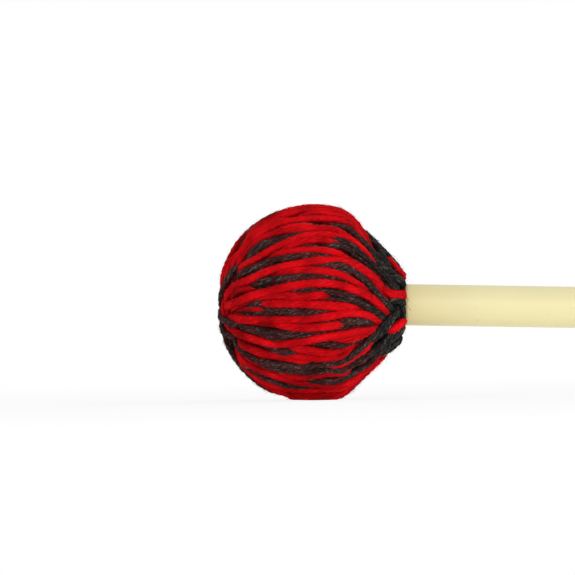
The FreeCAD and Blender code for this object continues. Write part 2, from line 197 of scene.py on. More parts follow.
# Passes round the side that is not seen, and loops under all of them. At each of READ_COLUMNS such a
# pass lies at its own start plus these shares of its rise and of its tilt, and these degrees.
BEHIND_PASSES = 20
BEHIND_LAYERS = {"charcoal": (6, 12), "red": (12, 28)}
BEHIND_SHAPE = ((-1, 0, 0), (-0.55, 0, 0), (-0.2, 1, 0), (0, 1, 0), (0.2, 1, 0), (0.2, 0, 0),
                (0, 0, -4), (0, 0, -15))
UNDER_LOOPS = 26
UNDER_SHAPE = ((-1, 0, 0), (-0.6, 0, 0), (-0.2, 0, 0), (0, 0, 0), (0.3, 0, 0), (0.3, 0, 0),
               (0, 0, -4), (0, 0, -16))

# How near to the axis and how far from it passes go by, in millimetres, at the crown and at the neck
FRONT_OFFSETS = ((1.8, 2.7), (4.2, 4.9))
BEHIND_OFFSETS = ((1.9, 2.8), (4.3, 5.0))
UNDER_OFFSETS = ((2.0, 3.4), (4.4, 5.2))

# Pieces of the winding: name, yarn, lowest layer and the one above the highest, faces round a strand,
# slot, and the solids that the piece replaces
YARN_PIECES = (
    ("red_turns_outer", "red", (33.9, 60), 16, "red_yarn", ("red_winding", "neck_wraps")),
    ("red_turns_middle", "red", (31, 33.9), 16, "red_yarn", ("red_winding",)),
    ("red_turns_inner", "red", (0, 31), 12, "red_yarn", ("red_winding",)),
    ("charcoal_turns_outer", "charcoal", (37, 60), 16, "charcoal_yarn",
     ("charcoal_winding", "crown_wraps")),
    ("charcoal_turns_middle", "charcoal", (33, 37), 16, "charcoal_yarn", ("charcoal_winding",)),
    ("charcoal_turns_inner", "charcoal", (0, 33), 14, "charcoal_yarn", ("charcoal_winding",)),
    ("under_turns", "under", (0, 30), 10, "base_yarn", ("base_winding",)),
)

# How finely the section and the passes are drawn, the gap left where two stretches of a pass join, how
# far a pass runs on beside the handle, a way that is longer than any pass, and how near to each other
# two points count as one
SECTION_STEP = 0.1 * MM
PASS_STEP = 0.4 * MM
JOIN_GAP = 0.2 * MM
RUN_ON = 3.4 * MM
FAR = 1.0
SAME_PLACE = 1e-7

# How far round from the front, in degrees, a pass behind stays under the others
SIDE_ANGLE = 97

# How strands lie: how far from the widest section yarn is pressed the most, how far before its columns
# a pass begins to dive and over what length, from which layer a short end lies loose on top, and how
# much of its dive and how deep a strand may be where it still counts as seen
POLE_REACH = 19 * MM
DIVE_START = 3.4 * MM
DIVE_LENGTH = 7.5 * MM
LOOSE_LAYER = 50
SEEN_DIVE = 0.3
SEEN_DEPTH = 0.75 * MM

# How a strand varies: how much it swells and how far it sways, each over a length, how much narrower it
# is where it dives, how far its tip tapers, and its plies
SLUB = 0.05
SLUB_LENGTH = 7 * MM
SWAY = 0.05 * MM
SWAY_LENGTH = 9 * MM
SQUEEZE = 0.66
TIP = 0.8 * MM
PLIES = 3

# Lamps: name, place from the head's centre and size, both in metres, and power in watts
LAMPS = (
    ("key", (0.3, -0.9, 0.12), 1.4, 4.2),
    ("fill", (0.05, -0.9, 0.03), 0.8, 1.9),
    ("table", (0.1, -0.3, -0.5), 0.5, 1.2),
)


class HeadSizes(bpy.types.PropertyGroup):
    """Outside of the head, in metres."""
    radius: bpy.props.FloatProperty(
        name="Ball radius", description="Radius of the ball of yarn", default=16.0 * MM, unit="LENGTH")
    cone_start: bpy.props.FloatProperty(
        name="Cone start", description="How far past the widest section the ball ends",
        default=math.radians(12), subtype="ANGLE")
    cone_angle: bpy.props.FloatProperty(
        name="Cone angle", description="Slope of the cone at the neck", default=math.radians(45),
        subtype="ANGLE")
    cone_blend: bpy.props.FloatProperty(
        name="Cone blend", description="Radius between ball and cone", default=6.0 * MM, unit="LENGTH")
    crown_flat: bpy.props.FloatProperty(
        name="Crown flat", description="Radius of the flat at the crown", default=3.55 * MM,
        unit="LENGTH")
    hole_radius: bpy.props.FloatProperty(
        name="Crown hole", description="Radius of the hole at the crown", default=1.35 * MM,
        unit="LENGTH")
    hole_round: bpy.props.FloatProperty(
        name="Crown hole rounding", description="Rounding of the hole's mouth", default=1.1 * MM,
        unit="LENGTH")
    face_round: bpy.props.FloatProperty(
        name="Neck rounding", description="Rounding between cone and neck face", default=1.9 * MM,
        unit="LENGTH")
    rest_flat: bpy.props.FloatProperty(
        name="Rest flat", description="How deep the yarn is pressed flat where the head rests",
        default=0.3 * MM, unit="LENGTH")


class YarnSizes(bpy.types.PropertyGroup):
    """The yarn and how it lies, in metres."""
    width: bpy.props.FloatProperty(
        name="Width", description="Width of a strand that lies on the head", default=1.3 * MM,
        unit="LENGTH")
    thickness: bpy.props.FloatProperty(
        name="Thickness", description="Thickness of a strand that lies on the head",
        default=1.04 * MM, unit="LENGTH")
    ply_pitch: bpy.props.FloatProperty(
        name="Ply pitch", description="Length in which the three plies turn once", default=3.6 * MM,
        unit="LENGTH")
    ply_depth: bpy.props.FloatProperty(
        name="Ply depth", description="How much the plies stand out, as a share", default=0.1,
        subtype="FACTOR")
    step: bpy.props.FloatProperty(
        name="Step", description="Distance between the rings of a strand", default=0.42 * MM,
        unit="LENGTH")
    lift: bpy.props.FloatProperty(
        name="Lift", description="How far the topmost strands stand out of the CAD's outside",
        default=0.14 * MM, unit="LENGTH")
    neck_lift: bpy.props.FloatProperty(
        name="Neck lift", description="How much further they stand out on the neck's face",
        default=0.17 * MM, unit="LENGTH")
    fibres: bpy.props.IntProperty(
        name="Loose fibres", description="Number of loose fibres on the yarn of each colour",
        default=3500)
    fibre_width: bpy.props.FloatProperty(
        name="Fibre width", description="Thickness of a loose fibre at its root", default=0.045 * MM,
        unit="LENGTH")
    seed: bpy.props.IntProperty(
        name="Seed", description="Start of the random wander of the strands", default=7)


class Finish(bpy.types.PropertyGroup):
    """Colours, as sRGB hex values."""
    red: bpy.props.StringProperty(name="Red yarn", description="Red yarn's colour", default="CF0610")
    charcoal: bpy.props.StringProperty(
        name="Charcoal yarn", description="Charcoal yarn's dark fibres", default="1D1E1E")
    heather: bpy.props.StringProperty(
        name="Heather fibres", description="Charcoal yarn's light fibres", default="767871")
    ivory: bpy.props.StringProperty(
        name="Handle", description="Ivory handle's colour", default="EFE6B0")


def srgb(code):
    """Linear colour from a hex value."""
    parts = [int(code[i:i + 2], 16) / 255 for i in (0, 2, 4)]
    return tuple(c / 12.92 if c <= 0.04045 else ((c + 0.055) / 1.055) ** 2.4 for c in parts) + (1.0,)


def node(tree, kind, settings=None, **links):
    """Adds a node. Settings are its own values; links are input names with a value or a socket."""
    made = tree.nodes.new(kind)
    for name, value in (settings or {}).items():
        setattr(made, name, value)
    for name, value in links.items():
        key = int(name[1:]) if name[0] == "_" and name[1:].isdigit() else name.replace("_", " ")
        socket = made.inputs[key]
        if isinstance(value, bpy.types.NodeSocket):
            tree.links.new(value, socket)
        else:
            socket.default_value = value
    return made


def surface(name):
    """New material with its Principled shader and tree."""
    material = bpy.data.materials.new(name)
    material.use_nodes = True
    return material, material.node_tree, material.node_tree.nodes["Principled BSDF"]


# Geometry of the head

class Envelope:
    """Outside of the head in section, followed from the crown's hole to the neck's mouth.

    t is how far a place lies along the section, u how far from the head's centre towards the handle,
    and v how far from the handle's axis. phi is the turn round that axis, up from the front.
    """

    def __init__(self, sizes):
        self.head_x = CROWN_X + math.sqrt(sizes.radius ** 2 - sizes.crown_flat ** 2)
        self.sizes = sizes
        points = self.section()
        self.u = points[:, 0]
        self.v = points[:, 1]
        along = np.hypot(np.diff(self.u), np.diff(self.v))
        self.t = np.concatenate([[0], np.cumsum(along)])
        self.widest = int(np.argmax(self.v))
        self.out_u = -np.gradient(self.v, self.t)
        self.out_v = np.gradient(self.u, self.t)

    def section(self):
        """Points of the section, about SECTION_STEP apart."""
        s = self.sizes

        def arc(centre, radius, start, end):
            count = max(3, int(abs(end - start) * radius / SECTION_STEP))
            angle = np.linspace(start, end, count)
            return np.column_stack([centre[0] + radius * np.sin(angle), centre[1] + radius * np.cos(angle)])

        def line(start, end):
            count = max(2, int(math.dist(start, end) / SECTION_STEP))
            return np.linspace(start, end, count)

        crown = -math.sqrt(s.radius ** 2 - s.crown_flat ** 2)
        hole_end = crown + 4 * s.hole_round
        inner = s.radius - s.cone_blend
        blend = (inner * math.sin(s.cone_start), inner * math.cos(s.cone_start))
        cone_line = blend[0] * math.sin(s.cone_angle) + blend[1] * math.cos(s.cone_angle) + s.cone_blend
        face = FACE_X - self.head_x
        round_u = face - s.face_round
        round_v = (cone_line - s.face_round - round_u * math.sin(s.cone_angle)) / math.cos(s.cone_angle)
        mouth = (crown + s.hole_round, s.hole_radius + s.hole_round)
        pieces = [
            line((hole_end, s.hole_radius), (crown + s.hole_round, s.hole_radius)),
            arc(mouth, s.hole_round, -math.pi, -math.pi / 2),
            line((crown, mouth[1]), (crown, s.crown_flat)),
            arc((0, 0), s.radius, math.asin(s.crown_flat / s.radius) - math.pi / 2, s.cone_start),
            arc(blend, s.cone_blend, s.cone_start, s.cone_angle),
            arc((round_u, round_v), s.face_round, s.cone_angle, math.pi / 2),
            line((face, round_v), (face, HANDLE_RADIUS)),
        ]
        joined = np.vstack(pieces)
        keep = np.concatenate([[True], np.hypot(*np.diff(joined, axis=0).T) > SAME_PLACE])
        return joined[keep]

    def at_column(self, columns):
        """Places along the section of pixel columns of the photograph."""
        u = (np.asarray(columns, float) - HEAD_COLUMN) * PIXEL_MM * MM
        return np.interp(u, self.u[self.crown_start():], self.t[self.crown_start():])

    def crown_start(self):
        """Number of the point where the section comes out of the hole."""
        return int(np.argmin(self.u))

    def on_crown(self, v):
        """Places along the section, on the crown's half, that lie v from the axis."""
        return np.interp(v, self.v[:self.widest + 1], self.t[:self.widest + 1])

    def on_neck(self, v):
        """Places along the section, on the neck's half, that lie v from the axis."""
        return np.interp(v, self.v[self.widest:][::-1], self.t[self.widest:][::-1])

    def radius(self, t):
        """How far places along the section lie from the axis."""
        return np.interp(t, self.t, self.v)

    def near_pole(self, t):
        """How tightly yarn is pressed together: 0 at the widest section, 1 at the poles."""
        return np.clip(np.abs(t - self.t[self.widest]) / POLE_REACH, 0, 1) ** 3

    def points(self, t, phi):
        """Points on the outside and the directions out of it."""
        u = np.interp(t, self.t, self.u)
        v = np.interp(t, self.t, self.v)
        out_u = np.interp(t, self.t, self.out_u)
        out_v = np.interp(t, self.t, self.out_v)
        side = np.column_stack([np.zeros_like(phi), -np.cos(phi), np.sin(phi)])
        place = side * v[:, None]
        place[:, 0] = self.head_x + u
        out = side * out_v[:, None]
        out[:, 0] = out_u
        return place, out / np.linalg.norm(out, axis=1)[:, None]


def curve_through(knots, values, start_slope, end_slope, at):
    """Smooth curve through values at knots, with the slopes at both ends given."""
    slopes = np.gradient(values, knots)
    slopes[0] = start_slope
    slopes[-1] = end_slope
    i = np.clip(np.searchsorted(knots, at) - 1, 0, len(knots) - 2)
    width = knots[i + 1] - knots[i]
    s = (at - knots[i]) / width
    return ((1 + 2 * s) * (1 - s) ** 2 * values[i] + s * (1 - s) ** 2 * width * slopes[i]
            + s ** 2 * (3 - 2 * s) * values[i + 1] + s ** 2 * (s - 1) * width * slopes[i + 1])


def one_pass(envelope, angles, crown_offset, crown_way, neck_offset, neck_way):
    """Places and angles of one pass from crown to neck, and on round the handle."""
    knots = envelope.at_column(READ_COLUMNS)
    crown_v = envelope.radius(knots[0])
    neck_v = envelope.radius(knots[-1])

    def slope(v, offset, way, rise):
        """How fast phi turns along t on a straight line that goes by the axis at the offset."""
        return way * offset / (v * math.sqrt(v * v - offset * offset)) * rise

    crown_rise = (envelope.radius(knots[0] + MM) - crown_v) / MM
    neck_rise = (envelope.radius(knots[-1] + MM) - neck_v) / MM
    t = np.arange(knots[0], knots[-1], PASS_STEP)
    phi = curve_through(knots, np.asarray(angles), slope(crown_v, crown_offset, crown_way, crown_rise),
                        slope(neck_v, neck_offset, neck_way, neck_rise), t)
    reach = math.sqrt(neck_v ** 2 - neck_offset ** 2)
    along = np.arange(reach - JOIN_GAP, -RUN_ON, -PASS_STEP)
    centre = angles[-1] - neck_way * math.acos(neck_offset / neck_v)
    neck_phi = centre + neck_way * np.arctan(along / neck_offset)
    neck_t = envelope.on_neck(np.hypot(along, neck_offset))
    return np.concatenate([t, neck_t]), np.concatenate([phi, neck_phi])


def one_loop(envelope, angles, neck_way, crown_offset, neck_offset, shown):
    """A pass down the front and the pass behind that it comes from, joined past the crown's hole.

    Gives places, angles and, for each point, how far it lies outside the stretch where the loop shows.
    That number is below nothing inside the stretch.
    """
    front = np.radians(angles)
    crown_v = envelope.radius(envelope.at_column(READ_COLUMNS[:1])[0])
    half = math.acos(crown_offset / crown_v)
    behind = front[0] - 2 * half - (front - front[0])
    front_t, front_phi = one_pass(envelope, front, crown_offset, 1, neck_offset, neck_way)
    back_t, back_phi = one_pass(envelope, behind, crown_offset, -1, neck_offset, -neck_way)
    reach = math.sqrt(crown_v ** 2 - crown_offset ** 2) - JOIN_GAP
    along = np.arange(-reach, reach, PASS_STEP)
    cross_t = envelope.on_crown(np.hypot(along, crown_offset))
    cross_phi = front[0] - half + np.arctan(along / crown_offset)
    t = np.concatenate([back_t[::-1], cross_t, front_t])
    phi = np.concatenate([back_phi[::-1], cross_phi, front_phi])
    first, last = envelope.at_column(shown)
    if shown[0] <= TO_CROWN:
        first = -FAR
    if shown[1] >= TO_NECK:
        last = FAR
    front_gap = np.maximum(first - front_t, front_t - last)
    if shown[1] < TO_NECK:
        # The neck's face is seen from all round, so the pass stays well under there
        face = slice(int(np.argmax(front_t)), None)
        front_gap[face] = np.maximum(front_gap[face], 3 * MM)
    # The pass behind stays under the front's own passes where it runs on to the side that is seen.
    # Beside the axis a turn is hardly any way, so there it is counted at a wider radius.
    turned = np.degrees(back_phi)
    seen = np.minimum(turned % 360, 360 - turned % 360)
    past_edge = np.radians(np.clip(SIDE_ANGLE - seen, -30, 30))
    back_gap = past_edge * np.maximum(envelope.radius(back_t), 12 * MM)
    # A pass that doesn't show from the crown on goes down while it rounds the hole to the front
    cross_gap = np.clip(first - cross_t, -FAR, 1.4 * along + 0.5 * MM)
    return t, phi, np.concatenate([back_gap[::-1], cross_gap, front_gap])


def evenly(envelope, step, t, phi, *others):
    """The same line with points step apart."""
    place, _ = envelope.points(t, phi)
    along = np.concatenate([[0], np.cumsum(np.linalg.norm(np.diff(place, axis=0), axis=1))])
    even = np.linspace(0, along[-1], max(8, int(along[-1] / step)))
    return [even] + [np.interp(even, along, values) for values in (t, phi) + others]


def smooth(values, width):
    """Values averaged with a bell curve, width samples wide."""
    reach = int(3 * width)
    bell = np.exp(-0.5 * (np.arange(-reach, reach + 1) / width) ** 2)
    padded = np.pad(values, reach, mode="edge")
    return np.convolve(padded, bell / bell.sum(), mode="valid")


def largest_near(values, reach):
    """Largest value within reach samples."""
    padded = np.pad(values, reach, mode="edge")
    return np.max([padded[i:i + len(values)] for i in range(2 * reach + 1)], axis=0)


def wander(random, count, step, wavelength):
    """Smooth random values of about unit size along a strand."""
    rough = random.normal(size=count)
    width = max(1.0, wavelength / step / 4)
    soft = smooth(rough, width)
    return soft / max(1e-9, soft.std())


class Strand:
    """A length of yarn: its line on the head's outside and how deep it lies.

    hidden is how far each point lies outside the stretch where the strand shows, dive how much of the
    way it has gone under there, and depth how far its top lies below the outside.
    """

    def __init__(self, colour, layer, along, t, phi, hidden, size=1.0):
        self.colour = colour
        self.layer = layer
        self.along = along
        self.t = t
        self.phi = phi
        self.hidden = hidden
        self.size = size
        self.depth = None
        self.dive = None
        self.frame = None
        self.rings = None


def lay_strands(envelope, strands, yarn):
    """Sinks each strand under those that were wound over it, from the last to the first."""
    # Strands nearer to each other than this lie one over the other
    cover_width = 0.84 * yarn.width
    crown_end, face_start = envelope.at_column(POLE_COLUMNS)
    placed = np.zeros((0, 3))
    placed_depth = np.zeros(0)
    placed_size = np.zeros(0)
    for strand in sorted(strands, key=lambda s: -s.layer):
        place, _ = envelope.points(strand.t, strand.phi)
        step = strand.along[1] - strand.along[0]
        # Yarn is pressed together and deeper in where it crosses itself at the two poles
        pressed = envelope.near_pole(strand.t)
        height = (0.72 - 0.38 * pressed) * yarn.thickness
        deepest = (1.4 + 0.8 * pressed) * MM
        dive_depth = (1.2 + 1.1 * pressed) * MM
        sunk = np.zeros(len(place))
        if len(placed):
            near = ((placed_size + (place ** 2).sum(axis=1)[:, None] - 2 * place @ placed.T)
                    / cover_width ** 2)
            sunk = np.where(near < 1, placed_depth + yarn.lift + height[:, None] * (1 - near),
                            0).max(axis=1)
        # Yarn under tension goes down before a crossing and comes up after it, never at once
        sunk = smooth(largest_near(sunk, max(1, int(0.45 * MM / step))), 0.8 * MM / step)
        sunk = deepest * np.tanh(sunk / deepest)
        dive = np.clip((strand.hidden + DIVE_START) / DIVE_LENGTH, 0, 1)
        strand.dive = dive * dive * (3 - 2 * dive)
        # The two ends are tucked in under the others
        tuck_length = min(4 * MM, 0.2 * strand.along[-1])
        tuck_depth = 2.2 * MM
        ends = np.minimum(strand.along, strand.along[-1] - strand.along) / tuck_length
        on_face = np.clip((strand.t - face_start) / (2 * MM), 0, 1)
        on_crown = np.clip((crown_end - strand.t) / (3 * MM), 0, 1)
        loose_lift = 0.2 * MM * (strand.layer >= LOOSE_LAYER)
        lift = yarn.lift * (1 - 1.6 * on_crown) + yarn.neck_lift * on_face + loose_lift
        strand.depth = (sunk - lift + dive_depth * strand.dive
                        + tuck_depth * np.clip(1 - ends, 0, 1) ** 1.5)
        # Every other point where it shows is enough to hold the next strands down
        over = (strand.dive < SEEN_DIVE) & (ends > 0.5)
        over[1::2] = False
        placed = np.vstack([placed, place[over]])
        placed_depth = np.concatenate([placed_depth, strand.depth[over]])
        placed_size = (placed ** 2).sum(axis=1)


def winding_strands(envelope, yarn):
    """All lengths of yarn on the head, each sunk under those wound over it."""
    random = np.random.default_rng(yarn.seed)
    strands = []
    # Short lengths show all along, and the hoops at the neck lie half under the others and waver
    short_hidden = -3 * MM
    hoop_hidden = -1.0 * MM
    hoop_layer = 8
    hoop_waver = 0.25 * MM
    # The thickness of short lengths, as a share, and how many points they are drawn with
    short_size, loose_size = 0.95, 1.22
    short_points, hoop_points = 60, 90

    def add(colour, layer, step, size, *line):
        """Keeps a strand along the line, with the slight sway of yarn that is laid by hand."""
        along, t, phi, hidden = evenly(envelope, step, *line)
        sway = SWAY * wander(random, len(t), step, SWAY_LENGTH)
        phi = phi + sway / np.maximum(envelope.radius(t), 4 * MM)
        strands.append(Strand(colour, layer, along, t, phi, hidden, size))

    def offsets(ranges):
        """How far from the axis a pass goes by at the crown and at the neck."""
        return [random.uniform(*limits) * MM for limits in ranges]

    for colour, layer, angles, neck_way, *shown in FRONT_PASSES:
        crown_offset, neck_offset = offsets(FRONT_OFFSETS)
        size = random.uniform(0.95, 1.04) * (1.1 if colour == "red" else 0.98)
        add(colour, layer + random.uniform(0, 0.09), yarn.step, size,
            *one_loop(envelope, angles, neck_way, crown_offset, neck_offset,
                      shown or (TO_CROWN, TO_NECK)))
    for colour, layer, columns, angles in NECK_ENDS:
        knots = np.linspace(0, 1, len(angles))
        beside_handle = envelope.t[-1] - np.array([1.3, 0.4]) * MM
        t = np.append(envelope.at_column(columns), beside_handle)
        line = [curve_through(knots, values, 0, 0, np.linspace(0, 1, short_points))
                for values in (t, np.radians(angles))]
        add(colour, layer, yarn.step, loose_size if layer >= LOOSE_LAYER else short_size,
            *line, np.full(short_points, short_hidden))
    for colour, layer, distance, angle, reach in CROWN_WRAPS:
        along = np.linspace(-reach, reach, short_points) * MM
        t = envelope.on_crown(np.hypot(along, distance * MM))
        phi = math.radians(angle) + np.arctan(along / (distance * MM))
        add(colour, layer, yarn.step, short_size, t, phi, np.full(short_points, short_hidden))
    far_side = 360 - 2 * SIDE_ANGLE
    for i in range(BEHIND_PASSES):
        start = SIDE_ANGLE + far_side * (i + 0.5) / BEHIND_PASSES + random.uniform(-1.2, 1.2)
        rise = random.uniform(5, 9)
        tilt = random.uniform(-2, 2)
        angles = [start + risen * rise + tilted * tilt + turn for risen, tilted, turn in BEHIND_SHAPE]
        colour = "charcoal" if i % 3 == 1 else "red"
        layer = random.uniform(*BEHIND_LAYERS[colour])
        add(colour, layer, yarn.step, 1.0,
            *one_loop(envelope, angles, 1, *offsets(BEHIND_OFFSETS), (TO_CROWN, TO_NECK)))
    # Each loop goes down both sides of the head, so half a turn of them goes all round it
    for i in range(UNDER_LOOPS):
        start = -90 + 180 * i / UNDER_LOOPS + random.uniform(-1.5, 1.5)
        rise = random.uniform(4, 9)
        angles = [start + risen * rise + turn for risen, _, turn in UNDER_SHAPE]
        add("under", random.uniform(0, 5), 2 * yarn.step, 1.0,
            *one_loop(envelope, angles, 1, *offsets(UNDER_OFFSETS), (TO_CROWN, TO_NECK)))
    for distance, start in NECK_HOOPS:
        phi = np.linspace(0, 2 * math.pi, hoop_points) + start
        t = envelope.on_neck(distance * MM + hoop_waver * np.sin(phi))
        add("charcoal", hoop_layer + distance / 10, yarn.step, 1.0, t, phi,
            np.full(hoop_points, hoop_hidden))
    lay_strands(envelope, strands, yarn)
    return strands


def yarn_surface(envelope, strand, yarn, sides, random):
    """Points of a strand's surface, ring by ring, with the first point of a ring repeated last."""
    place, out = envelope.points(strand.t, strand.phi)
    step = strand.along[1] - strand.along[0]
    slub = 1 + SLUB * wander(random, len(place), step, SLUB_LENGTH)
    # Where a strand dives it is squeezed between its neighbours
    squeezed = SQUEEZE * np.clip(2 * strand.dive - 0.5, 0, 1)
    half_width = 0.5 * yarn.width * strand.size * slub * (1 - squeezed)
    half_thick = 0.5 * yarn.thickness * strand.size * (2 - slub)
    centre = place - out * (strand.depth + half_thick)[:, None]
    heading = np.gradient(centre, axis=0)
    heading /= np.linalg.norm(heading, axis=1)[:, None]
    side = np.cross(out, heading)
    side /= np.linalg.norm(side, axis=1)[:, None]
    up = np.cross(heading, side)
    angle = np.linspace(0, 2 * math.pi, sides + 1)
    twist = 2 * math.pi * strand.along / yarn.ply_pitch + random.uniform(0, 6)
    ply = 1 + yarn.ply_depth * np.cos(PLIES * (angle[None, :] - twist[:, None]))
    ends = np.minimum(strand.along, strand.along[-1] - strand.along)
    taper = np.sqrt(np.clip(ends / TIP, 0.02, 1))
    across = (half_width * taper)[:, None] * np.cos(angle)[None, :] * ply
    above = (half_thick * taper)[:, None] * np.sin(angle)[None, :] * ply
    strand.frame = (heading, side, up)
    return centre[:, None, :] + across[..., None] * side[:, None, :] + above[..., None] * up[:, None, :]


def press_flat(points, envelope):
    """Moves points that lie below the rest flat up to it, with a little give."""
    floor = envelope.sizes.rest_flat - envelope.sizes.radius
    low = points[..., 2] < floor
    points[..., 2] = np.where(low, floor + 0.02 * (points[..., 2] - floor), points[..., 2])
    return points


def rolled_tubes(tubes, marks):
    """Rolls one grid into many closed tubes through rings of points.

    Each tube is an array of rings, whose last point repeats the first. The number given for it is
    kept on its points, so that a material can tell the tubes apart.
    """
    around = tubes[0].shape[1]
    counts = np.array([len(tube) for tube in tubes])
    bm = bmesh.new()
    bm.loops.layers.uv.new("along_yarn")
    bm.verts.layers.float.new("strand")
    bmesh.ops.create_grid(bm, x_segments=around - 1, y_segments=int(counts.sum()) - 1, size=1,
                          calc_uvs=True)
    grid = bpy.data.meshes.new("grid")
    bm.to_mesh(grid)
    grid.vertices.foreach_set("co", np.concatenate(tubes).ravel())
    grid.attributes["strand"].data.foreach_set("value", np.repeat(marks, counts * around))
    bm.clear()
    bm.from_mesh(grid)
    bpy.data.meshes.remove(grid)
    bm.faces.ensure_lookup_table()
    between = [bm.faces[int(row - 1) * (around - 1) + i] for row in np.cumsum(counts)[:-1]
               for i in range(around - 1)]
    bmesh.ops.delete(bm, geom=between, context="FACES")
    bmesh.ops.remove_doubles(bm, verts=bm.verts, dist=SAME_PLACE)
    bmesh.ops.holes_fill(bm, edges=[e for e in bm.edges if e.is_boundary], sides=around + 1)
    return bm


def turned(profile, steps, closed=False):
    """Turns a profile, given as places along the handle and radii, once round its axis."""
    bm = bmesh.new()
    verts = [bm.verts.new((x, 0, radius)) for x, radius in profile]
    row = verts + verts[:1] if closed else verts
    edges = [bm.edges.new(pair) for pair in zip(row, row[1:])]
    bmesh.ops.spin(bm, geom=verts + edges, cent=(0, 0, 0), axis=(1, 0, 0), angle=2 * math.pi,
                   steps=steps, use_merge=True)
    bmesh.ops.remove_doubles(bm, verts=bm.verts, dist=SAME_PLACE)
    return bm


def new_piece(name, bm, material, replaced):
    """Makes an object of a bmesh that rides on the mallet's one body."""
    mesh = bpy.data.meshes.new(name)
    bmesh.ops.recalc_face_normals(bm, faces=bm.faces)
    for face in bm.faces:
        face.smooth = True
    bm.to_mesh(mesh)
    bm.free()
    mesh.materials.append(material)
    piece = bpy.data.objects.new(name, mesh)
    bpy.context.scene.collection.objects.link(piece)
    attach(piece, BODY)
    if replaced:
        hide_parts(*replaced)
    return piece


def set_yarn_lengths(piece, girth, length, start=0.0):
    """Turns the grid's own UVs, from 0 to 1, into metres round and along the yarn."""
    layer = piece.data.uv_layers["along_yarn"]
    values = np.empty(2 * len(layer.uv))
    layer.uv.foreach_get("vector", values)
    values[0::2] = values[0::2] * girth + start
    values[1::2] *= length
    layer.uv.foreach_set("vector", values)


def yarn_piece(name, envelope, strands, yarn, sides, material, replaced):
    """Makes one piece of many strands, each a closed tube with so many sides."""
    random = np.random.default_rng(yarn.seed + len(name))
    for strand in strands:
        strand.rings = press_flat(yarn_surface(envelope, strand, yarn, sides, random), envelope)
    bm = rolled_tubes([strand.rings for strand in strands], random.uniform(0, 1, len(strands)))
    piece = new_piece(name, bm, material, replaced)
    set_yarn_lengths(piece, math.pi * yarn.width, sum(s.along[-1] for s in strands))


def fibre_piece(name, envelope, strands, yarn, material):
    """Loose fibres that stand off the yarn, each a thin three-sided tube that bends over."""
    random = np.random.default_rng(yarn.seed + 100 + len(name))
    count = yarn.fibres
    roots, axes = [], []
    for strand in strands:
        shown = np.flatnonzero((strand.dive < SEEN_DIVE) & (strand.depth < SEEN_DEPTH))
        around = strand.rings.shape[1] - 1
        # A ring's first half is the strand's outer side
        corner = (random.uniform(0.06, 0.44, len(shown)) * around).astype(int)
        roots.append(strand.rings[shown, corner])
        axes.append(np.stack([axis[shown] for axis in strand.frame], axis=1))
    pick = random.integers(0, sum(map(len, roots)), count)
    root = np.concatenate(roots)[pick]
    heading, side, up = np.moveaxis(np.concatenate(axes)[pick], 1, 0)
    lift = random.uniform(0.05, 0.5, (count, 1))
    way = random.choice((-1, 1), (count, 1))
    stray = random.normal(0, 0.45, (count, 1))
    curl = random.normal(0, 0.35, (count, 1))
    droop = random.uniform(0.4, 1.1, (count, 1))
    length = random.uniform(0.7, 2.2, (count, 1)) * MM
    run = heading * way + side * stray + up * lift
    run /= np.linalg.norm(run, axis=1)[:, None]
    bend = side * curl - up * lift * droop
    cross = np.cross(run, up)
    cross /= np.linalg.norm(cross, axis=1)[:, None]
    other = np.cross(cross, run)
    corner = np.linspace(0, 2 * math.pi, 4)[:, None, None]
    # The root is sunk a little into the yarn
    foot = root - up * 0.04 * MM
    rings = []
    for share in np.linspace(0, 1, 5):
        centre = foot + run * share * length + bend * share ** 2 * 0.8 * length
        thin = 0.5 * yarn.fibre_width * (1 - 0.6 * share)
        rings.append(press_flat(centre + thin * (np.cos(corner) * cross + np.sin(corner) * other),
                                envelope))
    tubes = list(np.array(rings).transpose(2, 0, 1, 3))
    bm = rolled_tubes(tubes, random.uniform(0, 1, count))
    piece = new_piece(name, bm, material, ())
    set_yarn_lengths(piece, yarn.fibre_width, count * MM, 0.25 * math.pi * yarn.width)


def winding_bed(envelope, material):
    """The yarn under the outer turns: a shell with ridges from crown to neck, and the hole's floor."""
    wall = 0.9 * MM
    ridges = 48
    ridge_share = 0.008
    hole_floor = envelope.u.min() + 4.2 * MM
    keep = slice(envelope.crown_start(), None, 6)
    # It lies deeper at the poles, where the outer turns are pressed into it
    deep = (1.6 + 1.5 * envelope.near_pole(envelope.t[keep])) * MM
    u = envelope.u[keep] - deep * envelope.out_u[keep]
    v = envelope.v[keep] - deep * envelope.out_v[keep]
    inside = (v > 1.6 * MM) & (u > hole_floor - 1.2 * MM)
    u, v = u[inside], v[inside]
    v = np.maximum(v, HANDLE_RADIUS + 0.1 * MM * (u > 0))
    outer = [(hole_floor, 0.0)] + list(zip(u, v))
    # The wall goes in towards the head's centre, but straight along the handle beside it
    inner = [(x - wall * x / math.hypot(x, y), y - wall * y / math.hypot(x, y))
             if y > HANDLE_RADIUS + 1.2 * wall else (x - wall, y) for x, y in outer[1:]]
    profile = outer + inner[::-1] + [(hole_floor + wall, 0.0)]
    bm = turned([(envelope.head_x + x, y) for x, y in profile], 3 * ridges)
    for vert in bm.verts:
        turn = math.atan2(vert.co.z, -vert.co.y)
        swell = 1 + ridge_share * math.cos(ridges * turn)
        vert.co.y *= swell
        vert.co.z *= swell
    new_piece("winding_bed", bm, material, ("base_winding",))


